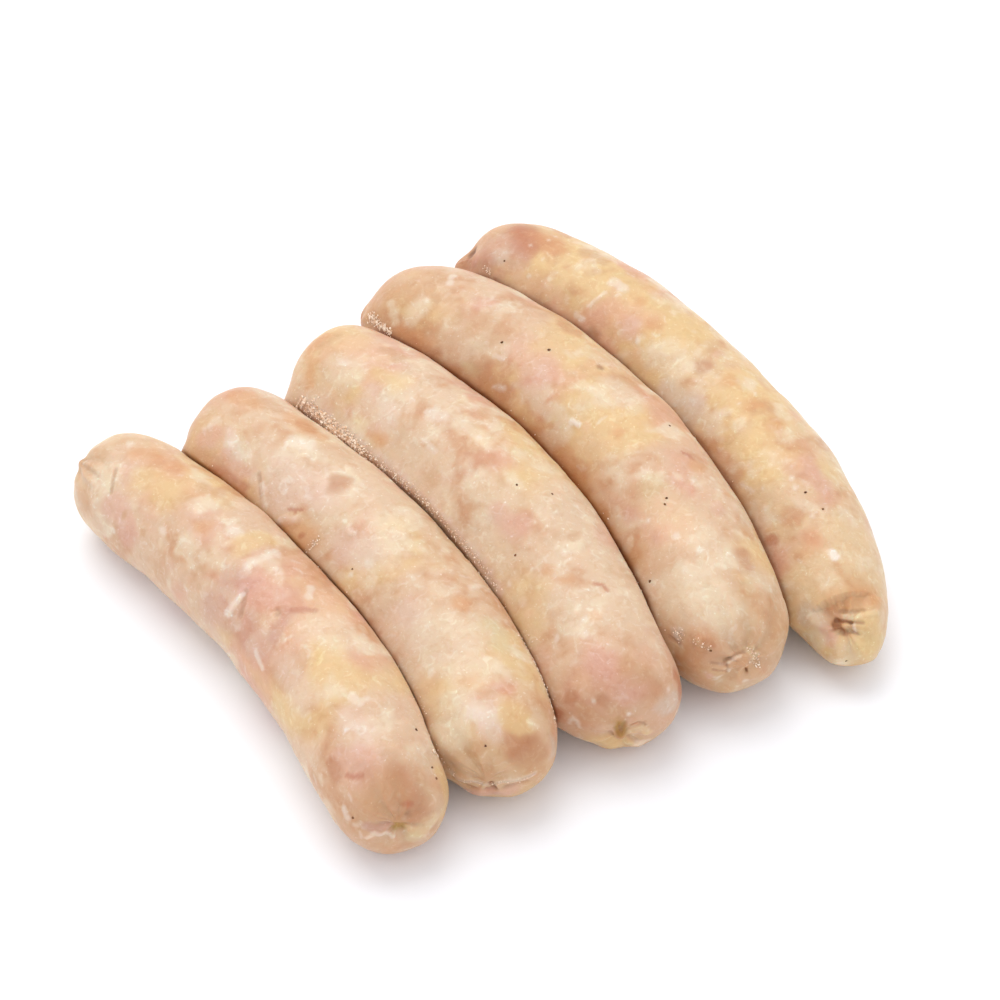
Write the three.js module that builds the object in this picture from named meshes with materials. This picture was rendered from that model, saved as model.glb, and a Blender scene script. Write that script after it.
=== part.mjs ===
// A row of five fresh sausage links, raw and pale, lying side by side and pressed together.
// Millimetres, +Z up. The links run along X and stack along Y, each bowed towards +Y.
// Each link is a turned form of unit size, carried onto its own bent centreline, then pressed
// flat by the surface below it and by the links beside it, and drawn in where its casing closes.

import * as THREE from 'three';

// Section of a link: slightly wider than tall, sunk a little, so that it rests on a flat strip
const WIDE = 1.03;
const TALL = 0.97;
const SINK = 0.7;

// Pressed flanks: clearance from the shared wall on each side, and how softly the flank rolls into it
const WALL_CLEARANCE = 0.19;
const WALL_ROLL = 0.9;

// Each link lies a little over the shoulder of the one before it: how far the shared wall gives way,
// and at what distance of that wall, in radii, the leaning flank begins and is whole. It leans only
// where the section is wide, past this share of the full radius.
const WALL_SHIFT = 1.6;
const LEAN_BEGINS = 1.35;
const LEAN_WHOLE = 1.15;
const LEAN_RIM = 0.75;

// How far out a shared wall is looked for, in radii
const WALL_SEARCH = 2.2;

// Unevenness of the filling under the casing
const LUMP_HEIGHT = 0.32;

// Pleats in the casing round each closure
const PLEATS = 7;

// A rounded end counts as far as this many radii from its tip
const CAP_REACH = 1.2;

// Facets: stations along the body and each rounded end, gathered towards its tip, and steps round
const BODY_ROWS = 22;
const CAP_ROWS = 10;
const CAP_GATHER = 1.35;
const AROUND = 28;
const CENTRELINE_STEPS = 120;
const CORE_STEPS = 48;
const BISECTIONS = 22;

// A closure is where the casing is twisted shut. aside and lift place it on the rounded end, off
// the tip, towards +Y and up. The stub is the casing's end, standing in a dimple with pleats round it,
// and pleat is how high those stand.
const plainClosure = {
  aside: 1, lift: 1, stub: 1.6, stubRadius: 1.3, dimple: 1.3, dimpleRadius: 3.2, pleat: 0.25,
};

// Driving dimensions. middle is the middle of the centreline, heading its direction there in
// degrees from +X, bend its turn from left tip to right tip, swing the turn's uneven share.
// radii are at five even stations from tip to tip; fullness is how blunt each end is, 1 being round.
// lean is how high up the flank, in degrees above level, it starts to run straight onto the shoulder
// of the link before.
const LINKS = [
  {
    name: 'link_1', colour: 0xe6c3a3, middle: [14.3, -67.1], heading: 2.3, bend: 33.8, swing: 5.1,
    length: 133, radii: [13, 13.8, 13.6, 13.6, 12.3], fullness: [1.42, 1.11],
    left: { aside: -6, lift: 7, stub: 1.1, stubRadius: 1.3, dimple: 0.6, dimpleRadius: 3 },
    right: { aside: -0.8, lift: 4, stub: 0.8, stubRadius: 1.6, dimple: 1.8, dimpleRadius: 4.2, pleat: 0.3 },
  },
  {
    name: 'link_2', colour: 0xe8c8a6, middle: [16.2, -39.4], heading: 0, bend: 38.8, swing: 11.2,
    length: 131, radii: [14.9, 14.1, 14.2, 13.4, 13.3], fullness: [1.44, 1.12], lean: 54,
    left: {},
    right: { aside: -4, lift: 1, stub: 1.2, stubRadius: 2, dimple: 1.2, dimpleRadius: 4, pleat: 0.3 },
  },
  {
    name: 'link_3', colour: 0xe9c9a8, middle: [14.5, -9.8], heading: -1.1, bend: 33, swing: 4.2,
    length: 139.5, radii: [14.7, 15.6, 16.3, 14.6, 13.4], fullness: [1.69, 1.45], lean: 48,
    left: {},
    right: { aside: -2.6, lift: -1.6, stub: 2.2, stubRadius: 1.5, dimple: 1.8, dimpleRadius: 3.6 },
  },
  {
    name: 'link_4', colour: 0xe3bf9a, middle: [9.5, 22.5], heading: -0.6, bend: 53, swing: 3.1,
    length: 154, radii: [16, 16.8, 16.4, 15.5, 14.7], fullness: [0.85, 0.96], lean: 46,
    left: { aside: -9, lift: -0.6, stub: 2.4, stubRadius: 5, dimple: 0.6, dimpleRadius: 2, pleat: 0.15 },
    right: { aside: 1.8, lift: 4.2, stub: 2.9, stubRadius: 2, dimple: 2.4, dimpleRadius: 4.4, pleat: 0.45 },
  },
  {
    name: 'link_5', colour: 0xe9c79e, middle: [11.8, 52.7], heading: -1.9, bend: 51, swing: -1.1,
    length: 165.5, radii: [14.8, 15.1, 14.2, 13.8, 10.4], fullness: [1.03, 0.59], lean: 50,
    left: { aside: -7, lift: 1.4, stub: 3.8, stubRadius: 3.6, dimple: 0.6, dimpleRadius: 5, pleat: 0.3 },
    right: { aside: -2.4, lift: 6.2, stub: 0.6, stubRadius: 1.2, dimple: 2.8, dimpleRadius: 4, pleat: 0.6 },
  },
];

const GOLDEN = 0.618034;
const lerp = THREE.MathUtils.lerp;
const radians = THREE.MathUtils.degToRad;

// Direction of the centreline at u, 0 at the left tip and 1 at the right
function headingAt({ heading, bend, swing }, u) {
  const v = u - 0.5;
  return radians(heading - bend * v - swing * (4 * v * v - 1 / 3));
}

// The bent centreline, seen from above, as a function of u
function centreline(link) {
  const step = link.length / CENTRELINE_STEPS;
  const points = [new THREE.Vector2()];
  for (let i = 0; i < CENTRELINE_STEPS; i += 1) {
    const angle = headingAt(link, (i + 0.5) / CENTRELINE_STEPS);
    const leg = new THREE.Vector2(Math.cos(angle), Math.sin(angle)).multiplyScalar(step);
    points.push(leg.add(points[i]));
  }
  const shift = new THREE.Vector2(...link.middle).sub(points[CENTRELINE_STEPS / 2]);
  points.forEach((point) => point.add(shift));
  return (u) => {
    const place = THREE.MathUtils.clamp(u, 0, 1) * CENTRELINE_STEPS;
    const i = Math.min(Math.floor(place), CENTRELINE_STEPS - 1);
    return points[i].clone().lerp(points[i + 1], place - i);
  };
}

// A link's own functions and values: its centreline, its radius, and for each of its two ends the
// exponent of its form, where its rounded part begins (t) and how wide the form is there (rim).
// The core is the row of balls that the link's body is made of, seen from above.
function prepare(link, index) {
  const path = centreline(link);
  const spline = new THREE.SplineCurve(link.radii.map((radius) => new THREE.Vector2(0, radius)));
  const radius = (u) => spline.getPoint(THREE.MathUtils.clamp(u, 0, 1)).y;
  const ends = [link.radii[0], link.radii.at(-1)];
  const power = ends.map((end, i) => (link.fullness[i] * link.length) / end);
  const capStart = ends.map((end) => 1 - (2 * CAP_REACH * end) / link.length);
  const rim = capStart.map((t, i) => Math.sqrt(1 - t ** power[i]));
  const first = ends[0] / link.length;
  const last = 1 - ends[1] / link.length;
  const core = Array.from({ length: CORE_STEPS + 1 }, (_, i) => {
    const u = lerp(first, last, i / CORE_STEPS);
    return { point: path(u), radius: WIDE * radius(u) };
  });
  return { ...link, index, path, radius, ends, power, capStart, rim, core, first, last };
}

// Distance from a point on the ground plan to a link's side, negative inside it
function outside(link, point) {
  return Math.min(...link.core.map((ball) => ball.point.distanceTo(point) - ball.radius));
}

// How far the wall shared with a neighbour lies from the centreline at u, on the given side
function wallOffset(link, neighbour, u, side) {
  const angle = headingAt(link, u);
  const across = new THREE.Vector2(-Math.sin(angle), Math.cos(angle)).multiplyScalar(side);
  const start = link.path(u);
  const ownSide = (offset) => {
    const point = across.clone().multiplyScalar(offset).add(start);
    return outside(link, point) + 2 * side * WALL_SHIFT < outside(neighbour, point);
  };
  let near = 0;
  let far = WALL_SEARCH * link.radius(u);
  if (ownSide(far)) return Infinity;
  for (let i = 0; i < BISECTIONS; i += 1) {
    const middle = (near + far) / 2;
    if (ownSide(middle)) near = middle;
    else far = middle;
  }
  return near - WALL_CLEARANCE;
}

// The lower of two values, rounded off where they cross
function softMin(a, b, roll) {
  if (b === Infinity) return a;
  const overlap = Math.max(roll - Math.abs(a - b), 0) / roll;
  return Math.min(a, b) - (overlap * overlap * roll) / 4;
}

// Slow waves in the radius, different on every link
function lumps(index, u, length, angle) {
  const along = u * length;
  const phase = (k) => 2 * Math.PI * ((index * GOLDEN + k * 0.37) % 1);
  return LUMP_HEIGHT * (
    Math.sin(along * 0.11 + phase(1)) * Math.cos(angle + phase(2))
    + 0.6 * Math.sin(along * 0.21 + phase(3)) * Math.cos(2 * angle + phase(4))
    + 0.4 * Math.sin(along * 0.38 + phase(5)) * Math.cos(3 * angle + phase(6))
  );
}

// Height of a closure's relief at a distance from its middle, in the direction turn round it
function closureRelief(closure, distance, turn) {
  const bell = (width) => Math.exp(-((distance / width) ** 2));
  const ring = distance / (1.5 * closure.dimpleRadius);
  const pleating = ring * ring * Math.exp(1 - ring * ring);
  return closure.stub * bell(closure.stubRadius)
    - closure.dimple * bell(closure.dimpleRadius)
    + closure.pleat * pleating * Math.cos(PLEATS * turn);
}

// Turned profile of unit radius from t = -1 to 1: close stations on the ends, even ones between
function unitProfile(link) {
  const cap = (end) => Array.from({ length: CAP_ROWS }, (_, i) => {
    const radius = link.rim[end] * Math.sin((Math.PI / 2) * (i / CAP_ROWS) ** CAP_GATHER);
    const t = (1 - radius * radius) ** (1 / link.power[end]);
    return new THREE.Vector2(radius, end === 0 ? -t : t);
  });
  const body = Array.from({ length: BODY_ROWS + 1 }, (_, i) => {
    const t = lerp(-link.capStart[0], link.capStart[1], i / BODY_ROWS);
    const power = link.power[t < 0 ? 0 : 1];
    return new THREE.Vector2(Math.sqrt(1 - Math.abs(t) ** power), t);
  });
  return [...cap(0), ...body, ...cap(1).reverse()];
}

// The place of one vertex of the unit form: its share of the section across and up, and u along.
// On a rounded end the stations gather round the closure, and stay on the same surface.
function placeOnForm(link, across, up, t, pole) {
  const end = t < 0 ? 0 : 1;
  const section = new THREE.Vector2(across, up);
  if (Math.abs(t) <= link.capStart[end]) return { section, u: (t + 1) / 2 };
  section.addScaledVector(pole, Math.max(1 - section.length() / link.rim[end], 0));
  const reach = (1 - Math.min(section.lengthSq(), 1)) ** (1 / link.power[end]);
  return { section, u: (1 + Math.sign(t) * reach) / 2 };
}

// How far a section is stretched where its flank runs straight down onto the shoulder of the link before
function leanAt(link, section, u, neighbours) {
  if (!neighbours.before) return 1;
  const wall = wallOffset(link, neighbours.before, u, -1) / link.radius(u);
  const share = (1 - THREE.MathUtils.smoothstep(wall, LEAN_WHOLE, LEAN_BEGINS))
    * THREE.MathUtils.smoothstep(section.length(), LEAN_RIM, 1);
  const level = Math.atan2(Math.abs(section.y), -section.x);
  return 1 + share * (1 / Math.cos(Math.max(radians(link.lean) - level, 0)) - 1);
}

// Presses a point at u flat against the walls that the link shares with its neighbours
function press(link, point, u, neighbours) {
  const heading = headingAt(link, u);
  const across = new THREE.Vector3(-Math.sin(heading), Math.cos(heading), 0);
  const start = link.path(u);
  const before = point.clone().sub(new THREE.Vector3(start.x, start.y, 0)).dot(across);
  let offset = before;
  if (neighbours.after) offset = softMin(offset, wallOffset(link, neighbours.after, u, 1), WALL_ROLL);
  if (neighbours.before) offset = -softMin(-offset, wallOffset(link, neighbours.before, u, -1), WALL_ROLL);
  return point.addScaledVector(across, offset - before);
}

// Carries one vertex of the unit form onto the real link. across and up are its place in the
// section, as shares of the radius, and t its place along, from -1 to 1.
function carry(link, across, up, t, neighbours) {
  const end = t < 0 ? 0 : 1;
  const closure = { ...plainClosure, ...(end === 0 ? link.left : link.right) };
  const pole = new THREE.Vector2(closure.aside, closure.lift).divideScalar(link.ends[end]);
  const { section, u } = placeOnForm(link, across, up, t, pole);

  const radius = link.radius(u);
  const centreHeight = radius * TALL - SINK;
  const swollen = radius + lumps(link.index, u, link.length, section.angle()) * section.length();
  const spread = section.clone().multiplyScalar(leanAt(link, section, u, neighbours));
  const middle = link.path(u);
  const heading = headingAt(link, u);
  const point = new THREE.Vector3(
    middle.x - Math.sin(heading) * WIDE * swollen * spread.x,
    middle.y + Math.cos(heading) * WIDE * swollen * spread.x,
    centreHeight + TALL * swollen * spread.y,
  );

  // The closure's stub, dimple and pleats stand out from the middle of the rounded end
  if (u < link.first || u > link.last) {
    const capMiddle = link.path(end === 0 ? link.first : link.last);
    const outward = point.clone().sub(new THREE.Vector3(capMiddle.x, capMiddle.y, centreHeight));
    const fromPole = section.clone().sub(pole);
    const relief = closureRelief(closure, fromPole.length() * link.ends[end], fromPole.angle());
    point.addScaledVector(outward.normalize(), relief);
  }

  press(link, point, u, neighbours);
  point.z = Math.max(point.z, 0);
  return point;
}

function linkGeometry(link, neighbours) {
  const geometry = new THREE.LatheGeometry(unitProfile(link), AROUND);
  const position = geometry.attributes.position;
  for (let i = 0; i < position.count; i += 1) {
    const point = carry(link, -position.getX(i), position.getZ(i), position.getY(i), neighbours);
    position.setXYZ(i, point.x, point.y, point.z);
  }
  geometry.computeVertexNormals();
  return geometry;
}

function linkMesh(link, neighbours) {
  const material = new THREE.MeshStandardMaterial({ color: link.colour, roughness: 0.45, metalness: 0 });
  const mesh = new THREE.Mesh(linkGeometry(link, neighbours), material);
  mesh.name = link.name;
  return mesh;
}

const links = LINKS.map(prepare);
const row = new THREE.Group();
row.name = 'sausage_row';
links.forEach((link, i) => row.add(linkMesh(link, { before: links[i - 1], after: links[i + 1] })));

// The origin is under the middle of the row's own box, on the surface it lies on
const middle = new THREE.Box3().setFromObject(row).getCenter(new THREE.Vector3());
row.children.forEach((mesh) => mesh.geometry.translate(-middle.x, -middle.y, 0));

export default row;
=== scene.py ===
"""A row of five raw sausage links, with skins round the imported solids.

Sizes are in millimetres until a mesh is made.
"""
import math

import bmesh
import bpy
import numpy as np
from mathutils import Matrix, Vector
from mathutils.bvhtree import BVHTree


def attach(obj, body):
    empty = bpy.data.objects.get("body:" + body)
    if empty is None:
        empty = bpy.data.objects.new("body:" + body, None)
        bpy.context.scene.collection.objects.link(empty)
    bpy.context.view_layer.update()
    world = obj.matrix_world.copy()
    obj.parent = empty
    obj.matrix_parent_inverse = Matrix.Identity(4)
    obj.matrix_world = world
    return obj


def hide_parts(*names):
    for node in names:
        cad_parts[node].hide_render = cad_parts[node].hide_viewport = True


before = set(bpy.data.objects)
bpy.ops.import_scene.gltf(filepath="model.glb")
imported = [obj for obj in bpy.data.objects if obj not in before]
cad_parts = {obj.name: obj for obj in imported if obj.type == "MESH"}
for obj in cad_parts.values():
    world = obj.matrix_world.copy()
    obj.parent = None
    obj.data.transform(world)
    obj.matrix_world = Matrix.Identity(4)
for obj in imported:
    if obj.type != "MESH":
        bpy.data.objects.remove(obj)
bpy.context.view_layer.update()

MM = 0.001

# The camera: where it looks from, how far from its aim, and its focal length on a square picture
CAMERA_AZIMUTH = 57.0
CAMERA_ELEVATION = 43.8
CAMERA_DISTANCE = 468.5
FOCAL_PIXELS = 1962.0
PICTURE = 1000.0
SENSOR = 36.0

# Middle of the whole row as its dimensions are given; the model stands centred on it
ROW_MIDDLE = np.array([11.0502, -10.7329, 0])

# Section of a link, its pressed flanks and its slow lumps, as in the solids
WIDE, TALL, SINK = 1.03, 0.97, 0.7
WALL_CLEARANCE, WALL_ROLL, WALL_SEARCH = 0.19, 0.9, 2.2
# How far the wall between two links stands towards the one nearer the first link
WALL_SHIFT = 1.6
# A flank begins to lean and leans in full where its wall is this near, and its lean begins this far out in
# the section, all in radii
LEAN_BEGINS, LEAN_WHOLE, LEAN_RIM = 1.35, 1.15, 0.75
LUMP_HEIGHT = 0.32
GOLDEN = 0.618034
PLEATS = 7
CAP_REACH = 1.2
CENTRELINE_STEPS = 120
CORE_STEPS = 48
WALL_STATIONS = np.linspace(0, 1, 500)
BISECTIONS = 24

# Fineness of the modelled surface: stations on the body and on each rounded end, how they gather at the
# end's pole, and steps round
BODY_ROWS = 264
CAP_ROWS = 52
CAP_GATHER = 1.5
AROUND = 200

# The seam after each link but the last: how dark the painted shadow of its own line is and, at stations along
# the link, how strongly painted brown shade darkens the skin beside it and how wide the gap still is where
# its line begins
SEAM_SHADOW_LINES = (0.25, 0.2, 0.85, 0.7)
SEAM_STATIONS = (0.04, 0.12, 0.3, 0.5, 0.7, 0.92)
SEAM_SHADES = (
    (0.5, 0.5, 0.5, 0.5, 0.4, 0.15), (0.3, 0.25, 0.35, 0.25, 0.25, 0.3),
    (0.6, 0.7, 0.9, 1.0, 0.95, 0.15), (0.65, 0.4, 0.45, 0.35, 0.75, 0.1),
)
# How far the painted brown shade reaches on the side that faces the first link, for each seam, and on the
# other side
SEAM_SHADE_REACH = (2.4, 2.4, 3.2, 2.8)
SEAM_SHADE_REACH_BEHIND = 1.1
SHADOW_LINE_REACH = 0.4
# Colours of the painted seam shade and of the painted shadow line in the seam
SEAM_SHADE_COLOUR, SEAM_SHADOW_COLOUR = "b87034", "7a3f18"
SEAM_DEPTHS = (
    (0.1, 0, 0.2, 0, 0, 0), (1.5, 0.3, 0.15, 0, 0, 0),
    (2.6, 0.9, 0.65, 0.7, 0.4, 0.5), (4, 2.6, 2, 2, 1.3, 1.5),
)
# How near the neighbour must be for it to be looked for, the gap left where two links touch, and a
# distance that stands for none
NEAR = 9.0
TOUCHING = 0.38
FAR = 99.0

# Heights of the skin's relief: its waves, ripples and grain, the folds at its closures, and rough seams
WAVES, RIPPLES, GRAIN, FOLDS, ROUGH_SEAM = 0.16, 0.07, 0.03, 0.2, 0.12
FOLD_REACH = 3.2
# How sharply the dressed skin turns into the walls between links
SKIN_ROLL = 0.3

PLAIN_CLOSURE = dict(aside=1, lift=1, stub=1.6, stub_radius=1.3, dimple=1.3, dimple_radius=3.2, pleat=0.25)

# The links' driving dimensions, the same as the solids'
LINKS = [
    dict(
        name="link_1", middle=(14.3, -67.1), heading=2.3, bend=33.8, swing=5.1,
        length=133, radii=(13, 13.8, 13.6, 13.6, 12.3), fullness=(1.42, 1.11),
        left=dict(aside=-6, lift=7, stub=1.1, stub_radius=1.3, dimple=0.6, dimple_radius=3),
        right=dict(aside=-0.8, lift=4, stub=0.8, stub_radius=1.6, dimple=1.8, dimple_radius=4.2, pleat=0.3),
    ),
    dict(
        name="link_2", middle=(16.2, -39.4), heading=0, bend=38.8, swing=11.2,
        length=131, radii=(14.9, 14.1, 14.2, 13.4, 13.3), fullness=(1.44, 1.12), lean=54,
        left={},
        right=dict(aside=-4, lift=1, stub=1.2, stub_radius=2, dimple=1.2, dimple_radius=4, pleat=0.3),
    ),
    dict(
        name="link_3", middle=(14.5, -9.8), heading=-1.1, bend=33, swing=4.2,
        length=139.5, radii=(14.7, 15.6, 16.3, 14.6, 13.4), fullness=(1.69, 1.45), lean=48,
        left={},
        right=dict(aside=-2.6, lift=-1.6, stub=2.2, stub_radius=1.5, dimple=1.8, dimple_radius=3.6),
    ),
    dict(
        name="link_4", middle=(9.5, 22.5), heading=-0.6, bend=53, swing=3.1,
        length=154, radii=(16, 16.8, 16.4, 15.5, 14.7), fullness=(0.85, 0.96), lean=46,
        left=dict(aside=-9, lift=-0.6, stub=2.4, stub_radius=5, dimple=0.6, dimple_radius=2, pleat=0.15),
        right=dict(aside=1.8, lift=4.2, stub=2.9, stub_radius=2, dimple=2.4, dimple_radius=4.4, pleat=0.45),
    ),
    dict(
        name="link_5", middle=(11.8, 52.7), heading=-1.9, bend=51, swing=-1.1,
        length=165.5, radii=(14.8, 15.1, 14.2, 13.8, 10.4), fullness=(1.03, 0.59), lean=50,
        left=dict(aside=-7, lift=1.4, stub=3.8, stub_radius=3.6, dimple=0.6, dimple_radius=5, pleat=0.3),
        right=dict(aside=-2.4, lift=6.2, stub=0.6, stub_radius=1.2, dimple=2.8, dimple_radius=4, pleat=0.6),
    ),
]


# Smooth noise

NOISE_VALUES = 4096
NOISE_KEYS = (73856093, 19349663, 83492791)


def value_noise(points, size, seed):
    """Smooth noise from -1 to 1 at points (n, 3), with features of the given size in mm."""
    table = np.random.default_rng(seed).uniform(-1, 1, NOISE_VALUES)
    place = points / size
    cell = np.floor(place).astype(np.int64)
    share = place - cell
    share = share * share * (3 - 2 * share)
    total = np.zeros(len(points))
    for corner in np.ndindex(2, 2, 2):
        key = cell + corner
        index = np.bitwise_xor.reduce(key * NOISE_KEYS, axis=1) & (NOISE_VALUES - 1)
        weight = np.prod(np.where(corner, share, 1 - share), axis=1)
        total += table[index] * weight
    return total


def layered_noise(points, size, seed, layers=3):
    """Noise with finer layers added, each half the size and half the height."""
    total = sum(value_noise(points, size / 2 ** k, seed + k) / 2 ** k for k in range(layers))
    return total / 1.4


def smoothstep(low, high, value):
    """Rises smoothly from 0 at low to 1 at high, which may be the smaller of the two."""
    t = np.clip((value - low) / (high - low), 0, 1)
    return t * t * (3 - 2 * t)


# The form of a link, worked out as in the solids

def heading_at(link, u):
    v = u - 0.5
    return np.radians(link["heading"] - link["bend"] * v - link["swing"] * (4 * v * v - 1 / 3))


def across_at(link, u):
    angle = heading_at(link, u)
    return np.stack([-np.sin(angle), np.cos(angle)], 1)


def prepare(index, link):
    """Adds what a link's form is worked out from: its centreline, core, ends and exponents."""
    step = link["length"] / CENTRELINE_STEPS
    angles = heading_at(link, (np.arange(CENTRELINE_STEPS) + 0.5) / CENTRELINE_STEPS)
    legs = np.stack([np.cos(angles), np.sin(angles)], 1) * step
    points = np.vstack([[0, 0], np.cumsum(legs, 0)])
    points += np.array(link["middle"]) - points[CENTRELINE_STEPS // 2]
    ends = np.array([link["radii"][0], link["radii"][-1]], float)
    power = np.array(link["fullness"]) * link["length"] / ends
    cap_start = 1 - 2 * CAP_REACH * ends / link["length"]
    out = dict(link, index=index, points=points, ends=ends, power=power, cap_start=cap_start)
    out["rim"] = np.sqrt(1 - cap_start ** power)
    out["first"], out["last"] = ends[0] / link["length"], 1 - ends[1] / link["length"]
    core_u = np.linspace(out["first"], out["last"], CORE_STEPS + 1)
    out["core"] = path(out, core_u)
    out["core_radius"] = WIDE * radius_at(out, core_u)
    return out


def path(link, u):
    u = np.clip(u, 0, 1)
    stations = np.linspace(0, 1, CENTRELINE_STEPS + 1)
    return np.stack([np.interp(u, stations, link["points"][:, k]) for k in (0, 1)], -1)


def radius_at(link, u):
    """Smooth curve through the five radii."""
    radii = np.array(link["radii"], float)
    place = np.clip(u, 0, 1) * 4
    i = np.minimum(place.astype(int), 3)
    t = place - i
    padded = np.concatenate([radii[:1], radii, radii[-1:]])
    before, start, end, after = (padded[i + k] for k in range(4))
    slope_in, slope_out = (end - before) / 2, (after - start) / 2
    rise = end - start
    return start + slope_in * t + (3 * rise - 2 * slope_in - slope_out) * t ** 2 \
        + (slope_in + slope_out - 2 * rise) * t ** 3


def outside(link, points):
    """Distance from points on the ground plan to a link's side, negative inside."""
    gap = points[:, None] - link["core"][None]
    return (np.hypot(gap[..., 0], gap[..., 1]) - link["core_radius"]).min(1)


def wall_offsets(link, neighbour, side):
    """The shared wall's distance from the centreline, at even stations along the link."""
    u = WALL_STATIONS
    across = across_at(link, u) * side
    start = path(link, u)
    far = WALL_SEARCH * radius_at(link, u)
    near = np.zeros_like(far)
    for _ in range(BISECTIONS):
        middle = (near + far) / 2
        points = start + across * middle[:, None]
        own = outside(link, points) + 2 * side * WALL_SHIFT < outside(neighbour, points)
        near, far = np.where(own, middle, near), np.where(own, far, middle)
    return near - WALL_CLEARANCE


def soft_min(a, b, roll):
    overlap = np.maximum(roll - np.abs(a - b), 0) / roll
    return np.minimum(a, b) - overlap ** 2 * roll / 4


def lean_at(link, u, section, walls):
    """Stretch of the section where a flank runs straight down onto the neighbour's shoulder."""
    gap = np.interp(u, WALL_STATIONS, walls[0]) / radius_at(link, u)
    share = smoothstep(LEAN_BEGINS, LEAN_WHOLE, gap) * smoothstep(LEAN_RIM, 1, np.hypot(*section.T))
    level = np.arctan2(np.abs(section[:, 1]), -section[:, 0])
    return 1 + share * (1 / np.cos(np.maximum(math.radians(link["lean"]) - level, 0)) - 1)


def lumps(link, u, angle):
    along = u * link["length"]

    def phase(k):
        return 2 * math.pi * ((link["index"] * GOLDEN + k * 0.37) % 1)

    return LUMP_HEIGHT * (
        np.sin(along * 0.11 + phase(1)) * np.cos(angle + phase(2))
        + 0.6 * np.sin(along * 0.21 + phase(3)) * np.cos(2 * angle + phase(4))
        + 0.4 * np.sin(along * 0.38 + phase(5)) * np.cos(3 * angle + phase(6))
    )


def closure_relief(closure, distance, turn):
    def bell(width):
        return np.exp(-(distance / width) ** 2)

    ring = distance / (1.5 * closure["dimple_radius"])
    pleating = ring ** 2 * np.exp(1 - ring ** 2)
    return closure["stub"] * bell(closure["stub_radius"]) \
        - closure["dimple"] * bell(closure["dimple_radius"]) \
        + closure["pleat"] * pleating * np.cos(PLEATS * turn)


def unit_rows(link):
    """Turned profile of unit radius: (radius, t) at close stations on the ends and even ones between."""
    rows = []
    steps = np.sin(math.pi / 2 * (np.arange(CAP_ROWS) / CAP_ROWS) ** CAP_GATHER)
    for end, sign in ((0, -1), (1, 1)):
        radius = link["rim"][end] * steps
        rows.append(np.stack([radius, sign * (1 - radius ** 2) ** (1 / link["power"][end])], 1))
    t = np.linspace(-link["cap_start"][0], link["cap_start"][1], BODY_ROWS + 1)
    power = np.where(t < 0, *link["power"])
    body = np.stack([np.sqrt(1 - np.abs(t) ** power), t], 1)
    return np.vstack([rows[0], body, rows[1][::-1]])


def press(link, points, u, walls, roll):
    """Presses points flat against the walls shared with the neighbours and against the surface below."""
    across = across_at(link, u)
    before = ((points[:, :2] - path(link, u)) * across).sum(1)
    offset = before
    if walls[1] is not None:
        offset = soft_min(offset, np.interp(u, WALL_STATIONS, walls[1]), roll)
    if walls[0] is not None:
        offset = -soft_min(-offset, np.interp(u, WALL_STATIONS, walls[0]), roll)
    points = points.copy()
    points[:, :2] += across * (offset - before)[:, None]
    points[:, 2] = np.maximum(points[:, 2], 0)
    return points, offset


def base_form(link, walls):
    """The link's form as a grid of points, with what the finer work needs to know about each."""
    rows = unit_rows(link)
    turn = np.linspace(0, 2 * math.pi, AROUND, endpoint=False)
    radius, t = (np.repeat(rows[:, k], AROUND) for k in (0, 1))
    turns = np.tile(turn, len(rows))
    section = np.stack([-np.sin(turns), np.cos(turns)], 1) * radius[:, None]
    end = (t > 0).astype(int)
    closures = [dict(PLAIN_CLOSURE, **link[side]) for side in ("left", "right")]
    pole = np.array([[c["aside"], c["lift"]] for c in closures]) / link["ends"][:, None]
    capped = np.abs(t) > link["cap_start"][end]
    pull = np.maximum(1 - np.hypot(*section.T) / link["rim"][end], 0) * capped
    section = section + pole[end] * pull[:, None]
    reach = (1 - np.minimum((section ** 2).sum(1), 1)) ** (1 / link["power"][end])
    u = np.where(capped, (1 + np.sign(t) * reach) / 2, (t + 1) / 2)

    r = radius_at(link, u)
    centre_height = r * TALL - SINK
    angle = np.arctan2(section[:, 1], section[:, 0])
    swollen = r + lumps(link, u, angle) * np.hypot(*section.T)
    middle = path(link, u)
    heading = heading_at(link, u)
    spread = section * lean_at(link, u, section, walls)[:, None] if walls[0] is not None else section
    aside = WIDE * swollen * spread[:, 0]
    points = np.stack([
        middle[:, 0] - np.sin(heading) * aside,
        middle[:, 1] + np.cos(heading) * aside,
        centre_height + TALL * swollen * spread[:, 1],
    ], 1)

    cap_u = np.where(end == 0, link["first"], link["last"])
    cap_middle = np.concatenate([path(link, cap_u), centre_height[:, None]], 1)
    outward = points - cap_middle
    outward /= np.linalg.norm(outward, axis=1, keepdims=True)
    from_pole = (section - pole[end]) * link["ends"][end][:, None]
    distance = np.hypot(*from_pole.T)
    spin = np.arctan2(from_pole[:, 1], from_pole[:, 0])
    beyond = (u < link["first"]) | (u > link["last"])
    relief = np.zeros(len(points))
    for k, closure in enumerate(closures):
        here = beyond & (end == k)
        relief[here] = closure_relief(closure, distance[here], spin[here])
    points += outward * relief[:, None]
    points, offset = press(link, points, u, walls, WALL_ROLL)
    return dict(
        points=points, u=u, offset=offset, rows=len(rows), end=end,
        distance=np.where(beyond, distance, FAR), spin=spin,
    )


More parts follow.
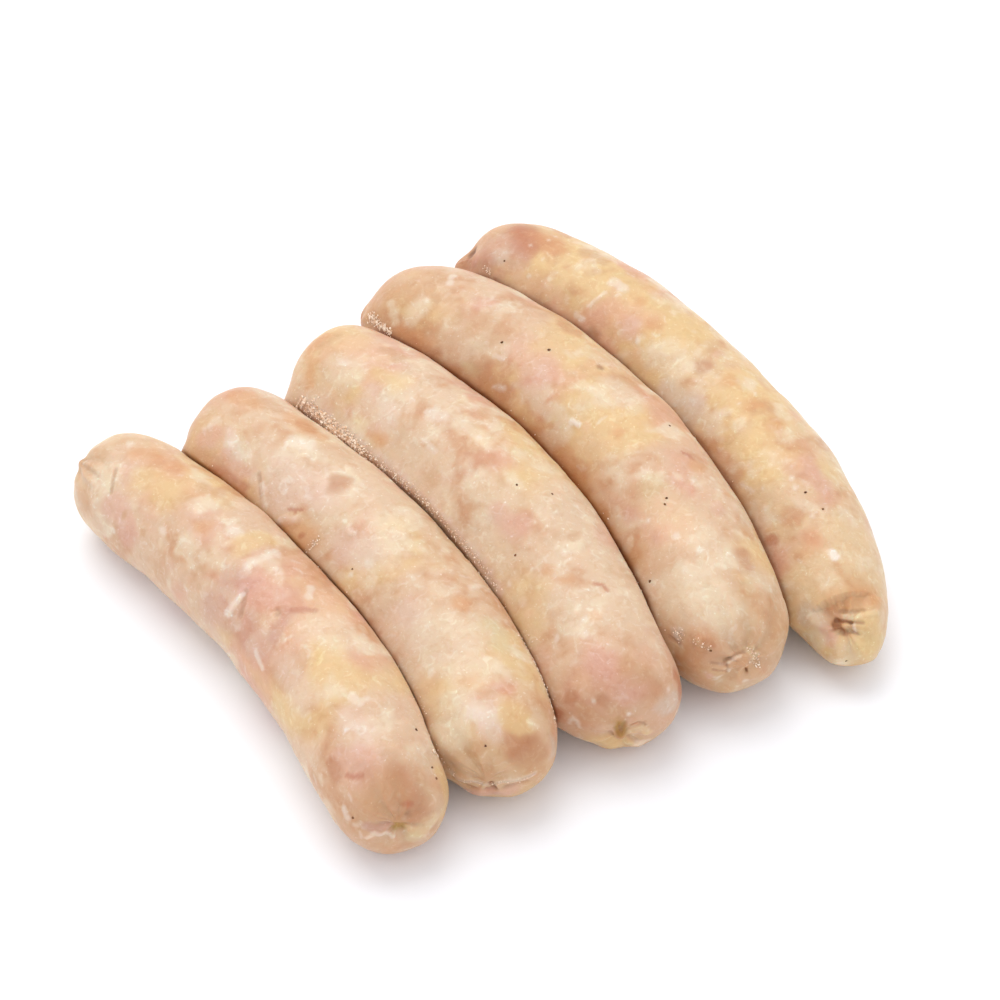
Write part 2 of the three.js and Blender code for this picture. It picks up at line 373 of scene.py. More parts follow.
def merged(form):
    """Joins each pole's ring of equal points into one vertex, and gives the form's faces."""
    rows = form["rows"]
    keep = np.r_[0, AROUND:(rows - 1) * AROUND, (rows - 1) * AROUND]
    form = {key: value if np.isscalar(value) else value[keep] for key, value in form.items()}
    step = np.arange(AROUND)
    following = (step + 1) % AROUND
    start = 1 + np.arange(rows - 3)[:, None] * AROUND
    corners = (start + step, start + following, start + AROUND + following, start + AROUND + step)
    quads = np.stack(corners, -1).reshape(-1, 4)
    last = 1 + (rows - 2) * AROUND
    ring = last - AROUND
    left = np.stack([np.zeros_like(step), 1 + following, 1 + step], 1)
    right = np.stack([np.full_like(step, last), ring + step, ring + following], 1)
    form["faces"] = quads.tolist() + left.tolist() + right.tolist()
    return form


# The camera's own axes, and where points fall in its picture

azimuth, elevation = math.radians(CAMERA_AZIMUTH), math.radians(CAMERA_ELEVATION)
LOOK = np.array([
    -math.sin(azimuth) * math.cos(elevation),
    math.cos(azimuth) * math.cos(elevation),
    -math.sin(elevation),
])
RIGHT = np.array([math.cos(azimuth), math.sin(azimuth), 0])
UP = np.cross(RIGHT, LOOK)
CAMERA_PLACE = -LOOK * CAMERA_DISTANCE


def in_picture(points):
    """Pixels at which the camera sees points."""
    relative = points - CAMERA_PLACE
    depth = relative @ LOOK
    across = PICTURE / 2 + FOCAL_PIXELS * (relative @ RIGHT) / depth
    down = PICTURE / 2 - FOCAL_PIXELS * (relative @ UP) / depth
    return np.stack([across, down], -1)


def seen_point(form, pixel):
    """The form's vertex that the camera sees nearest to a pixel."""
    miss = np.hypot(*(form["pixels"] - pixel).T) + PICTURE * ~form["facing"]
    return form["points"][miss.argmin()]


# Kinds of marks on the skin: colour, strength and height
KINDS = dict(
    white=("f9ead8", 0.52, 0.04),
    cream=("f6e2c2", 0.55, 0.03),
    blush=("f1d3bd", 0.6, 0),
    yellow=("eecb8d", 0.55, 0),
    peach=("f3c9a2", 0.5, 0),
    orange=("e2a470", 0.6, 0),
    pink=("e6b09c", 0.55, 0),
    mauve=("d3a08d", 0.55, -0.03),
    tan=("d8a67a", 0.6, -0.03),
    rust=("c98a60", 0.65, 0),
    brown=("a9714a", 0.65, -0.06),
    red=("c47352", 0.6, -0.04),
    fat=("fff4e6", 0.8, 0.12),
    wedge=("7c4a2a", 0.8, -0.3),
    grey=("e2cdb8", 0.55, 0),
    green=("e0cf9c", 0.4, 0),
    frost=("f0d2bf", 0.6, 0.02),
    olive=("b98a3c", 0.85, -0.25),
    ridge=("f7e3cc", 0.6, 0.18),
    lobe=("efd2a4", 0.55, 0.3),
    button=("e3b78e", 0.6, 0.45),
    # The darker colours of the crease, fold and slit kinds are painted shade and shadow in creases, folds and
    # slits, beside their sunken relief
    crease=("c08c6a", 0.5, -0.2),
    fold=("b98560", 0.5, -0.35),
    slit=("9c5c2c", 0.75, -0.4),
)


# Marks on each link: kind, half-width, and the pixels of the photograph that each runs through
MARKS = {}
MARKS["link_1"] = [
    ("tan", 2.8, (206, 489), (216, 494)), ("cream", 3.2, (222, 564), (230, 572)),
    ("peach", 4.2, (318, 596), (334, 618)), ("cream", 5, (100, 480), (112, 492)),
    ("yellow", 4.6, (150, 478), (172, 492)), ("orange", 3.8, (143, 452), (172, 464)),
    ("white", 1.3, (129, 444)), ("pink", 3.6, (112, 508), (128, 532)),
    ("crease", 0.6, (116, 470), (111, 492)), ("tan", 1.1, (125, 515)), ("tan", 1.1, (143, 534)),
    ("white", 0.9, (113, 530)), ("white", 1.1, (163, 530)), ("orange", 2.4, (203, 527)),
    ("cream", 2.6, (201, 504)), ("white", 1.6, (230, 530), (238, 534)),
    ("yellow", 3.2, (244, 542), (266, 540)), ("white", 1.2, (275, 553), (258, 560), (247, 566)),
    ("tan", 3.8, (163, 575)), ("mauve", 3.2, (224, 584), (246, 582)), ("pink", 5.6, (256, 590), (266, 598)),
    ("mauve", 5, (215, 610), (240, 628), (262, 648)), ("crease", 0.7, (240, 616), (243, 604), (246, 592)),
    ("white", 0.7, (226, 612), (234, 602), (242, 595)), ("ridge", 0.6, (229, 616), (240, 600)),
    ("mauve", 2.4, (288, 616), (276, 634)), ("crease", 0.5, (277, 608), (281, 612), (277, 615)),
    ("white", 0.7, (256, 651), (262, 668)), ("red", 0.9, (291, 610), (313, 611)),
    ("cream", 5.4, (318, 628), (345, 640)), ("white", 1, (311, 588), (309, 596)), ("yellow", 1.7, (319, 657)),
    ("green", 0.9, (298, 672)), ("blush", 5, (288, 668), (300, 690)),
    ("white", 0.9, (352, 697), (360, 703), (368, 700)),
    ("white", 0.8, (344, 730), (352, 725), (362, 729), (372, 731)), ("blush", 3.4, (350, 716), (366, 740)),
    ("pink", 4.4, (350, 760), (362, 768)), ("red", 0.6, (347, 775), (355, 777), (361, 775)),
    ("rust", 2, (332, 766), (336, 774)), ("rust", 5, (398, 786), (404, 806)),
    ("tan", 4.6, (382, 790), (388, 806)), ("red", 1.1, (408, 805)), ("brown", 1, (407, 813)),
    ("tan", 3, (366, 812)), ("olive", 1.1, (396, 827), (402, 826)),
    ("lobe", 1.7, (412, 832), (424, 827), (434, 817)), ("yellow", 2.2, (441, 772), (447, 792), (443, 812)),
    ("green", 1.8, (414, 838)), ("mauve", 1.1, (364, 826), (376, 829), (388, 826)),
    ("ridge", 0.5, (367, 838), (374, 833), (380, 835), (386, 832), (393, 837)),
    ("white", 0.9, (344, 810), (346, 816)), ("yellow", 1, (437, 752)),
]
MARKS["link_2"] = [
    ("tan", 3, (266, 402), (278, 409)), ("cream", 3.8, (362, 546), (376, 554), (392, 564)),
    ("blush", 4.6, (408, 614), (418, 636)), ("cream", 5.2, (432, 634), (444, 646), (462, 642)),
    ("cream", 2.8, (458, 728), (466, 738)), ("orange", 3.6, (238, 397), (252, 400)),
    ("rust", 1.8, (302, 424), (312, 430)), ("orange", 2.8, (290, 414), (318, 436)),
    ("white", 1.2, (206, 430), (216, 420)), ("white", 2.2, (231, 434), (234, 446), (240, 456)),
    ("white", 2, (296, 441), (309, 445)), ("pink", 2.8, (206, 442), (220, 436)),
    ("pink", 3, (222, 460), (244, 472)), ("blush", 5.6, (278, 468), (300, 480), (318, 496)),
    ("blush", 3, (268, 494), (286, 506)), ("tan", 3, (200, 456), (214, 466)),
    ("red", 2.2, (216, 474), (230, 482), (242, 489)), ("crease", 0.6, (259, 474), (261, 498)),
    ("ridge", 0.7, (262, 484), (265, 506)), ("ridge", 1.4, (280, 520), (296, 520)),
    ("fat", 1, (282, 520), (295, 520)), ("red", 0.45, (288, 509), (303, 510)), ("red", 0.5, (295, 513)),
    ("orange", 3.4, (290, 530), (308, 538)), ("red", 0.8, (301, 536)), ("white", 0.6, (315, 543)),
    ("rust", 3, (340, 482)), ("ridge", 0.5, (350, 525), (347, 529), (350, 533), (355, 532)),
    ("blush", 4, (344, 544), (362, 556)), ("white", 0.7, (352, 574)), ("white", 1.4, (368, 565)),
    ("cream", 4.4, (388, 528), (402, 540)), ("ridge", 0.8, (471, 588), (480, 586)),
    ("orange", 2.4, (461, 604)), ("green", 3.4, (492, 626), (501, 640)),
    ("cream", 3.6, (460, 668), (484, 670)), ("white", 1, (431, 673)), ("blush", 3.4, (470, 700), (488, 712)),
    ("white", 2.2, (470, 714), (494, 716)), ("cream", 3.6, (455, 700), (450, 730)),
    ("yellow", 3.2, (508, 712), (522, 724)), ("cream", 0.9, (531, 722), (536, 724)),
    ("blush", 2.6, (486, 730), (494, 736)), ("tan", 2.2, (474, 748)), ("rust", 3.2, (516, 749), (534, 747)),
    ("rust", 2.6, (521, 751), (532, 748)), ("tan", 2.4, (524, 762), (538, 756)),
    ("tan", 1.6, (483, 768), (489, 772)),
    ("ridge", 0.6, (452, 772), (458, 778), (472, 781), (490, 784), (508, 781), (522, 778), (534, 773)),
    ("fold", 0.6, (454, 778), (468, 785), (490, 788), (510, 786), (526, 781)),
    ("pink", 1.8, (462, 788), (486, 793), (514, 790)), ("slit", 0.7, (491, 783), (494, 788)),
    ("grey", 1.4, (551, 738), (554, 752)),
]
MARKS["link_3"] = [
    ("yellow", 5.4, (330, 332), (356, 338)), ("peach", 4.4, (352, 342), (374, 356)),
    ("tan", 2.4, (388, 350), (398, 357)), ("tan", 2.6, (320, 344), (334, 338)),
    ("orange", 2.4, (326, 336), (316, 342), (312, 350)), ("orange", 1.6, (312, 362), (309, 384)),
    ("cream", 3.6, (336, 366), (352, 376)), ("white", 1, (340, 362), (348, 364)),
    ("yellow", 3.6, (378, 374), (398, 382)), ("peach", 2.8, (366, 390)),
    ("white", 2.2, (434, 413), (440, 416)), ("yellow", 3.4, (356, 398), (368, 412)),
    ("orange", 2.2, (372, 432), (382, 440)), ("blush", 4, (368, 402), (386, 420)), ("white", 0.8, (480, 438)),
    ("white", 0.9, (557, 639)), ("white", 0.9, (584, 619)), ("white", 1, (584, 635)),
    ("white", 0.8, (510, 584)), ("white", 0.9, (565, 553)), ("peach", 1.4, (596, 616)),
    ("peach", 1.3, (528, 615)), ("cream", 4.6, (484, 486), (500, 498)),
    ("white", 0.7, (425, 441), (431, 447), (436, 452)), ("tan", 3.2, (430, 476)),
    ("pink", 3.6, (502, 518), (516, 530)), ("red", 0.6, (595, 583), (602, 586), (608, 590)),
    ("pink", 3.8, (596, 664), (614, 676), (630, 690)), ("tan", 3, (628, 668), (640, 676)),
    ("rust", 1.5, (571, 699)), ("rust", 1.6, (604, 701)), ("peach", 2.6, (580, 684)),
    ("tan", 2.4, (586, 712), (600, 718)), ("olive", 1.4, (617, 722), (621, 730)),
    ("tan", 2, (618, 712), (612, 722)), ("yellow", 3.2, (600, 742), (616, 744)),
    ("crease", 0.6, (620, 729), (626, 736), (636, 740)), ("crease", 0.6, (610, 732), (620, 738)),
    ("lobe", 1.1, (630, 731), (641, 726), (648, 732)), ("lobe", 1, (628, 742), (640, 744)),
    ("fold", 0.4, (631, 725), (638, 722), (646, 724)), ("tan", 1, (641, 723)),
    ("ridge", 0.7, (636, 742), (648, 740)), ("grey", 2.8, (666, 706), (674, 698)),
    ("white", 0.7, (676, 712), (680, 705)), ("red", 1.7, (676, 678), (680, 692)), ("white", 0.6, (629, 714)),
    ("white", 0.7, (668, 690)), ("white", 0.6, (594, 702)),
    ("ridge", 0.5, (568, 722), (572, 717), (577, 721), (580, 727)), ("red", 1.8, (558, 714)),
    ("frost", 2, (304, 404), (340, 430), (372, 458), (404, 482)),
    ("frost", 1.5, (404, 482), (430, 506), (458, 538), (482, 566), (500, 590)),
]
MARKS["link_4"] = [
    ("tan", 3, (434, 272), (442, 277)), ("tan", 3.4, (464, 314), (476, 320)),
    ("tan", 4.6, (384, 286), (412, 290)), ("tan", 4, (372, 306), (384, 322)),
    ("cream", 1.4, (392, 303), (396, 322)), ("cream", 2.8, (412, 318), (420, 304)),
    ("tan", 1.2, (433, 282), (436, 300)), ("orange", 3.4, (402, 336), (426, 344)),
    ("rust", 2.2, (410, 344), (434, 356)), ("white", 1, (452, 276), (450, 284)), ("brown", 1, (600, 367)),
    ("tan", 4.2, (486, 322), (502, 334)), ("pink", 5.6, (522, 354), (544, 374)),
    ("rust", 2.8, (484, 374), (504, 394)), ("green", 1.8, (466, 366), (476, 372)),
    ("white", 0.7, (495, 356), (503, 360)), ("white", 0.8, (494, 387), (503, 389)),
    ("fat", 0.7, (572, 420), (579, 424)), ("white", 0.5, (571, 424), (566, 431)), ("peach", 1.4, (586, 425)),
    ("orange", 2, (620, 433)), ("cream", 4, (612, 388), (630, 400)), ("green", 4.6, (660, 488), (672, 506)),
    ("peach", 4.6, (662, 508), (684, 528)), ("cream", 4.4, (704, 536), (718, 552)),
    ("rust", 2.4, (742, 556), (748, 568)), ("red", 0.6, (683, 452), (688, 455), (693, 459)),
    ("orange", 2.2, (695, 466)), ("white", 0.8, (713, 480)), ("white", 0.9, (676, 535)),
    ("white", 0.8, (648, 521)), ("white", 0.9, (701, 550)), ("white", 0.8, (684, 571)),
    ("cream", 5.4, (682, 582), (698, 606)), ("cream", 4.2, (716, 594), (728, 612)),
    ("white", 0.8, (673, 629), (682, 631)), ("white", 0.7, (676, 635), (680, 643)),
    ("crease", 0.5, (668, 637), (679, 643)), ("orange", 2, (700, 645)), ("button", 1.6, (700, 645)),
    ("rust", 0.7, (704, 641), (711, 643), (714, 646)), ("button", 3, (741, 666), (746, 668)),
    ("tan", 2.4, (743, 668)), ("fold", 0.5, (725, 661), (731, 657), (737, 654), (744, 652)),
    ("fold", 0.35, (726, 665), (726, 672)), ("lobe", 1.1, (749, 650), (754, 656)),
    ("ridge", 0.4, (729, 662), (735, 658), (740, 656)), ("white", 0.35, (728, 669), (729, 670)),
    ("slit", 0.35, (746, 667), (747, 671)), ("crease", 0.4, (711, 663), (726, 664)),
    ("crease", 0.4, (712, 670), (724, 671)), ("white", 0.4, (742, 680), (747, 680)),
    ("cream", 0.5, (738, 686)), ("pink", 1.2, (710, 675)),
]
MARKS["link_5"] = [
    ("tan", 3.2, (588, 252), (600, 259)), ("cream", 2.4, (704, 420), (713, 430)),
    ("rust", 5.2, (519, 232), (533, 240)), ("red", 3.6, (520, 230), (530, 240), (529, 248)),
    ("orange", 4, (546, 236), (556, 246)), ("mauve", 4.6, (506, 246), (516, 262)), ("grey", 2.6, (498, 256)),
    ("mauve", 3.4, (484, 250), (486, 262)), ("peach", 3.4, (522, 277), (542, 287)),
    ("wedge", 1.4, (469, 258), (473, 252)), ("rust", 1.8, (463, 262), (469, 258)),
    ("pink", 1.2, (474, 262), (477, 258)), ("white", 0.6, (531, 245)), ("white", 0.6, (549, 240)),
    ("white", 0.6, (555, 237)), ("white", 0.7, (529, 276)), ("white", 0.8, (488, 270)),
    ("white", 1.8, (616, 284), (624, 287)), ("ridge", 0.6, (605, 293), (596, 299), (588, 307)),
    ("white", 0.8, (576, 315), (583, 320)), ("orange", 2.4, (641, 300)), ("orange", 2.6, (654, 326)),
    ("orange", 2.8, (728, 381)), ("rust", 2.8, (704, 366)), ("orange", 2.8, (754, 405)),
    ("orange", 2.8, (776, 425)), ("brown", 2.2, (592, 334)), ("red", 1.8, (774, 541)),
    ("pink", 3.8, (631, 328)), ("white", 0.9, (637, 341)), ("cream", 4.4, (664, 352), (676, 362)),
    ("grey", 4, (670, 388), (688, 412)), ("cream", 2.2, (739, 425)), ("cream", 2.2, (789, 438)),
    ("pink", 3.2, (809, 462), (820, 484)), ("white", 0.8, (792, 477)), ("white", 0.8, (796, 486)),
    ("white", 0.8, (763, 488)), ("white", 0.8, (765, 508)), ("white", 0.8, (813, 516)),
    ("fat", 1, (834, 557), (832, 554)), ("white", 0.5, (741, 484), (753, 492)), ("orange", 3.4, (814, 541)),
    # At link 5's right closure, the orange band above the fold, the rust round the slit and the tan and mauve
    # marks on its left are painted shade of its dimple and fold
    ("orange", 3.2, (838, 602), (856, 602), (872, 599)), ("fold", 0.6, (841, 611), (852, 612), (863, 611)),
    ("tan", 0.8, (863, 611), (874, 611)), ("lobe", 4.4, (866, 626), (870, 640)),
    ("yellow", 3, (870, 622), (874, 636), (866, 648)), ("cream", 0.8, (836, 616), (844, 617), (853, 618)),
    ("lobe", 0.8, (857, 618), (863, 616), (876, 613)), ("rust", 1.5, (831, 613), (835, 619)),
    ("rust", 2.2, (837, 626), (846, 629)), ("slit", 0.5, (836, 620), (845, 622), (851, 623)),
    ("crease", 0.4, (851, 623), (863, 624)), ("slit", 1, (836, 625), (838, 630), (844, 632), (848, 631)),
    ("crease", 0.5, (848, 631), (857, 634)), ("lobe", 0.8, (845, 626), (850, 628)),
    ("white", 0.5, (854, 625), (855, 631)), ("lobe", 1.6, (836, 638), (850, 641)),
    ("tan", 1.4, (828, 617), (826, 622)), ("grey", 3, (806, 614), (816, 620)), ("mauve", 1.8, (827, 629)),
    ("pink", 1.6, (831, 641)), ("cream", 3, (843, 662)), ("cream", 2.6, (818, 640)),
]

# Ground pepper under the skin, by the pixels that show it
SPECKS = dict(
    link_1=[(416, 730), (353, 818), (437, 778), (432, 767)],
    link_2=[(352, 569), (486, 746)],
    link_3=[(517, 484), (553, 494), (516, 555)],
    link_4=[(502, 343), (549, 350), (670, 426), (665, 504), (666, 498), (650, 582), (710, 650)],
    link_5=[(504, 260), (806, 493), (822, 509), (846, 661)],
)


def crust(link, count, widths, radii, *pixels):
    """Dried crumbs along a line on a link: its half-width at each end, their radii, and the line's pixels."""
    return dict(link=link, count=count, widths=widths, radii=radii, pixels=pixels)


CRUMB_STRIPS = [
    crust("link_3", 900, (1.0, 1.2), (0.1, 0.42), (301, 402), (320, 417), (335, 430), (352, 443), (364, 452)),
    crust(
        "link_3", 520, (1.0, 0.5), (0.06, 0.25), (364, 452), (372, 459), (389, 472), (405, 486),
        (425, 503), (443, 521), (460, 541), (478, 561), (496, 584),
    ),
    crust("link_4", 240, (1.0, 0.5), (0.1, 0.38), (371, 317), (380, 325), (390, 334)),
    crust("link_4", 34, (0.5, 0.4), (0.1, 0.3), (749, 649), (755, 657)),
    crust("link_4", 30, (0.5, 0.4), (0.08, 0.26), (748, 662), (758, 665)),
    crust("link_4", 26, (0.7, 0.5), (0.08, 0.26), (696, 641), (707, 648)),
    crust("link_4", 30, (0.6, 0.5), (0.1, 0.28), (672, 630), (683, 632), (680, 643)),
    crust(
        "link_2", 60, (0.5, 0.3), (0.06, 0.3), (436, 744), (446, 765), (458, 778), (472, 781),
        (490, 784), (508, 781), (522, 778), (534, 773),
    ),
    crust(
        "link_2", 170, (0.35, 0.35), (0.08, 0.28), (518, 634), (530, 654), (541, 676), (549, 700),
        (555, 724),
    ),
    crust("link_1", 16, (0.3, 0.3), (0.14, 0.3), (432, 752), (438, 756)),
    crust("link_2", 30, (0.6, 0.6), (0.12, 0.26), (310, 548), (316, 540)),
    crust("link_5", 24, (0.4, 0.3), (0.12, 0.26), (484, 268), (492, 274)),
]

# Finer crumbs caught in the seams: how many on each side of each, their radii, and how far they reach
SEAM_CRUMBS = (420, 620, 240, 140)
SEAM_CRUMB_RADII = (0.06, 0.24)
SEAM_CRUMB_REACH = 0.7


# Colour

SKIN_SHADE = 0.81

# Each link's own skin, and what its left and right ends turn to
SKINS = dict(link_1="e9c5a4", link_2="ebcaa8", link_3="ebcbaa", link_4="e8c3a0", link_5="ecca9f")
END_TINTS = dict(
    link_1=("e6c6a0", "d39a6c"),
    link_2=("e0b08a", "dfb184"),
    link_3=("e6bd8d", "daa47d"),
    link_4=("dca984", "d6a878"),
    link_5=("d69d7b", "e3bb87"),
)


def linear(code):
    """The linear colour of a six-digit screen colour."""
    values = np.array([int(code[k:k + 2], 16) / 255 for k in (0, 2, 4)])
    return np.where(values <= 0.04045, values / 12.92, ((values + 0.055) / 1.055) ** 2.4)


def skin_colour(code):
    """A colour as the photograph shows it, taken back to the skin's own under this bright light."""
    return linear(code) * SKIN_SHADE


def mix(colours, code, weight):
    weight = np.clip(weight, 0, 1)[:, None]
    return colours * (1 - weight) + skin_colour(code) * weight


def skin_mottle(form, seed, name):
    """Chopped meat and fat seen through the casing: soft patches of many sizes, and fine marbling."""
    points = form["points"]
    sway = np.stack([value_noise(points, 5, seed + k) for k in range(3)], 1)
    bent = points + 1.6 * sway
    broad = layered_noise(points, 22, seed + 10)
    blush = layered_noise(bent, 15, seed + 20)
    meat = layered_noise(bent, 7.5, seed + 30)
    fat = layered_noise(bent, 5.5, seed + 40)
    fine = layered_noise(bent, 1.9, seed + 50, 2)
    tint = np.tile(skin_colour(SKINS[name]), (len(points), 1))
    tint = mix(tint, "efc98b", 0.7 * smoothstep(-0.05, 0.5, broad))
    tint = mix(tint, "e4a58d", 0.65 * smoothstep(0.0, 0.55, blush))
    tint = mix(tint, "d3976a", 0.68 * smoothstep(-0.02, 0.65, meat + 0.25 * fine))
    tint = mix(tint, "f5e2c4", 0.6 * smoothstep(0.0, 0.6, fat + 0.25 * fine))
    left, right = END_TINTS[name]
    tint = mix(tint, left, 0.6 * smoothstep(0.14, 0.03, form["u"]))
    tint = mix(tint, right, 0.55 * smoothstep(0.86, 0.97, form["u"]))
    return tint * (1 + 0.04 * fine[:, None])


def line_distance(points, stops):
    """Distance in mm from each point to the nearest place on a line through the stops."""
    nearest = np.linalg.norm(points - stops[0], axis=1)
    for start, end in zip(stops[:-1], stops[1:]):
        leg = end - start
        share = np.clip((points - start) @ leg / max(leg @ leg, 1e-9), 0, 1)
        away = points - start - share[:, None] * leg
        nearest = np.minimum(nearest, np.linalg.norm(away, axis=1))
    return nearest


def mark_weight(form, stops, width, rough, seed):
    """How strongly a mark shows at each vertex: 1 on its line, 0 past its ragged edge."""
    points = form["points"]
    weight = np.zeros(len(points))
    reach = width * 1.6 + 0.4
    low, high = stops.min(0) - reach, stops.max(0) + reach
    close = ((points > low) & (points < high)).all(1)
    place = points[close]
    ragged = value_noise(place, max(width, 1.2), seed) * rough
    weight[close] = smoothstep(1.35, 0.35, line_distance(place, stops) / width + ragged)
    return weight


def strip_weight(form, strip):
    """How thick the crumbs of a strip lie at each vertex, its width going from the first to the second."""
    stops = np.array([seen_point(form, pixel) for pixel in strip["pixels"]])
    whole = stops[-1] - stops[0]
    share = np.clip((form["points"] - stops[0]) @ whole / (whole @ whole), 0, 1)
    width = strip["widths"][0] * (1 - share) + strip["widths"][1] * share
    return np.exp(-(line_distance(form["points"], stops) / width) ** 2)


def mark(kind, width, stops, strength_share=1, height_share=1):
    """A mark of a kind along stops on the skin."""
    colour, strength, height = KINDS[kind]
    return dict(
        colour=colour, strength=strength_share * strength, height=height_share * height,
        width=width, stops=stops,
    )


def scattered_marks(form, seed):
    """Small pale threads, crumbs of fat and darker bits that lie all over the skin."""
    rng = np.random.default_rng(seed)
    points, normals = form["points"], form["normals"]
    sorts = (("white", 80, (0.25, 0.5), (0.5, 2.6)), ("cream", 34, (0.5, 1.1), (0, 2)),
             ("tan", 26, (0.6, 1.5), (0, 2)), ("pink", 12, (1.0, 2.4), (0, 3)),
             ("orange", 10, (0.8, 1.8), (0, 2)), ("ridge", 12, (0.3, 0.5), (1, 3)))
    for kind, count, widths, lengths in sorts:
        for start in rng.choice(len(points), count, p=form["areas"] / form["areas"].sum()):
            heading = np.cross(normals[start], rng.normal(size=3))
            heading /= np.linalg.norm(heading)
            length = rng.uniform(*lengths)
            curl = np.cross(normals[start], heading) * rng.uniform(-0.3, 0.3) * length
            middle = points[start]
            stops = np.array([middle - heading * length / 2, middle + curl, middle + heading * length / 2])
            yield mark(kind, rng.uniform(*widths), stops, 0.6, 0.5)


def dress(form, link, seed):
    """Adds the skin's relief to the form's points and works out its colours."""
    points, normals = form["points"], form["normals"]
    tint = skin_mottle(form, seed, link["name"])
    height = WAVES * layered_noise(points, 8, seed + 60, 2)
    height += RIPPLES * value_noise(points, 3, seed + 63) + GRAIN * value_noise(points, 1.4, seed + 64)

    # The casing gathers in fine folds towards each closure
    folds = value_noise(np.stack([6 * np.cos(form["spin"]), 6 * np.sin(form["spin"]), form["end"] * 9.0], 1),
                        1.1, seed + 65)
    near_closure = form["distance"] / FOLD_REACH
    height += FOLDS * folds * near_closure ** 2 * np.exp(1 - near_closure ** 2)
    tint = mix(tint, "c48f62", 0.5 * np.exp(-(form["distance"] / 2.6) ** 2))

    marks = list(scattered_marks(form, seed + 70))
    for kind, width, *pixels in MARKS[link["name"]]:
        marks.append(mark(kind, width, np.array([seen_point(form, pixel) for pixel in pixels])))
    for k, one in enumerate(marks):
        rough = 0.1 if one["width"] < 0.8 else 0.45
        weight = mark_weight(form, one["stops"], one["width"], rough, seed + 100 + k)
        tint = mix(tint, one["colour"], one["strength"] * weight)
        height += one["height"] * weight

    for strip in CRUMB_STRIPS:
        if strip["link"] == link["name"]:
            tint = mix(tint, "c0906a", 0.5 * strip_weight(form, strip))

    # Painted shade where links touch: a brown band, wider on the side that faces the row's first link, and a
    # darker painted shadow line in the seam; the skin there is also rougher
    ragged = 1 + 0.4 * value_noise(points, 3, seed + 80)
    rough = value_noise(points, 1.2, seed + 81)
    for side in (0, 1):
        seam = link["index"] - 1 + side
        if 0 <= seam < len(SEAM_SHADES):
            spread = SEAM_SHADE_REACH_BEHIND if side else SEAM_SHADE_REACH[seam]
            depth = np.interp(form["u"], SEAM_STATIONS, SEAM_DEPTHS[seam]) if side == 0 else 0
            gap = np.maximum(form["gaps"][side] - depth, 0)
            seam_shade = np.interp(form["u"], SEAM_STATIONS, SEAM_SHADES[seam])
            tint = mix(tint, SEAM_SHADE_COLOUR, seam_shade * np.exp(-gap / (spread * ragged)))
            tint = mix(tint, SEAM_SHADOW_COLOUR, SEAM_SHADOW_LINES[seam] * np.exp(-gap / (SHADOW_LINE_REACH * ragged)))
            height += ROUGH_SEAM * rough * np.exp(-gap)
    return height, tint


# Materials

def new_material(name):
    """A material, its nodes and its shader."""
    material = bpy.data.materials.new(name)
    material.use_nodes = True
    tree = material.node_tree
    return material, tree, tree.nodes["Principled BSDF"]


def set_inputs(node, **values):
    for key, value in values.items():
        node.inputs[key.replace("_", " ")].default_value = value


def add_node(tree, kind, **settings):
    made = tree.nodes.new(kind)
    for key, value in settings.items():
        if hasattr(made, key):
            setattr(made, key, value)
        else:
            set_inputs(made, **{key: value})
    return made


def skin_material(name):
    """Moist raw sausage skin: the mesh's own tint, finer marbling, pale threads, painted glints as tiny
    bright flecks, and a low sheen.
    """
    material, tree, shader = new_material(name)
    link = tree.links.new
    place = add_node(tree, "ShaderNodeTexCoord").outputs["Object"]
    tint = add_node(tree, "ShaderNodeAttribute", attribute_name="tint").outputs["Color"]

    def noise(scale, detail, distortion=0.0):
        made = add_node(tree, "ShaderNodeTexNoise", Scale=scale, Detail=detail, Distortion=distortion)
        link(place, made.inputs["Vector"])
        return made.outputs["Fac"]

    def ramp(value, low, high, to_low=0.0, to_high=1.0):
        made = add_node(tree, "ShaderNodeMapRange", clamp=True)
        set_inputs(made, From_Min=low, From_Max=high, To_Min=to_low, To_Max=to_high)
        link(value, made.inputs["Value"])
        return made.outputs["Result"]

    def blended(base, weight, colour):
        """Turns the tint as plain skin would turn to a colour, so that dark places stay dark."""
        made = add_node(tree, "ShaderNodeMix", data_type="RGBA", blend_type="MULTIPLY")
        link(weight, made.inputs["Factor"])
        link(base, made.inputs["A"])
        made.inputs["B"].default_value = (*(linear(colour) / linear(SKINS["link_1"])), 1)
        return made.outputs["Result"]

    colour = blended(tint, ramp(noise(520, 3, 0.6), 0.52, 0.72, 0, 0.32), "d8a47b")
    colour = blended(colour, ramp(noise(430, 3, 1.2), 0.55, 0.72, 0, 0.4), "f9e9d2")
    threads = add_node(tree, "ShaderNodeMath", operation="SUBTRACT")
    link(noise(260, 2, 2.2), threads.inputs[0])
    threads.inputs[1].default_value = 0.5
    away = add_node(tree, "ShaderNodeMath", operation="ABSOLUTE")
    link(threads.outputs[0], away.inputs[0])
    colour = blended(colour, ramp(away.outputs[0], 0.0, 0.014, 0.14, 0), "fbeede")
    # Painted glints: tiny bright flecks scattered over the skin
    colour = blended(colour, ramp(noise(1500, 2, 0.5), 0.66, 0.76, 0, 0.6), "fdf0dd")
    link(colour, shader.inputs["Base Color"])

    link(ramp(noise(300, 3), 0.3, 0.7, 0.36, 0.52), shader.inputs["Roughness"])
    set_inputs(shader, Subsurface_Weight=0.5, Subsurface_Radius=(1.0, 0.45, 0.25))
    set_inputs(shader, Subsurface_Scale=0.002, Specular_IOR_Level=0.4)
    bump = add_node(tree, "ShaderNodeBump", Strength=0.35, Distance=0.00025)
    link(noise(1100, 4, 0.4), bump.inputs["Height"])
    link(bump.outputs["Normal"], shader.inputs["Normal"])
    return material


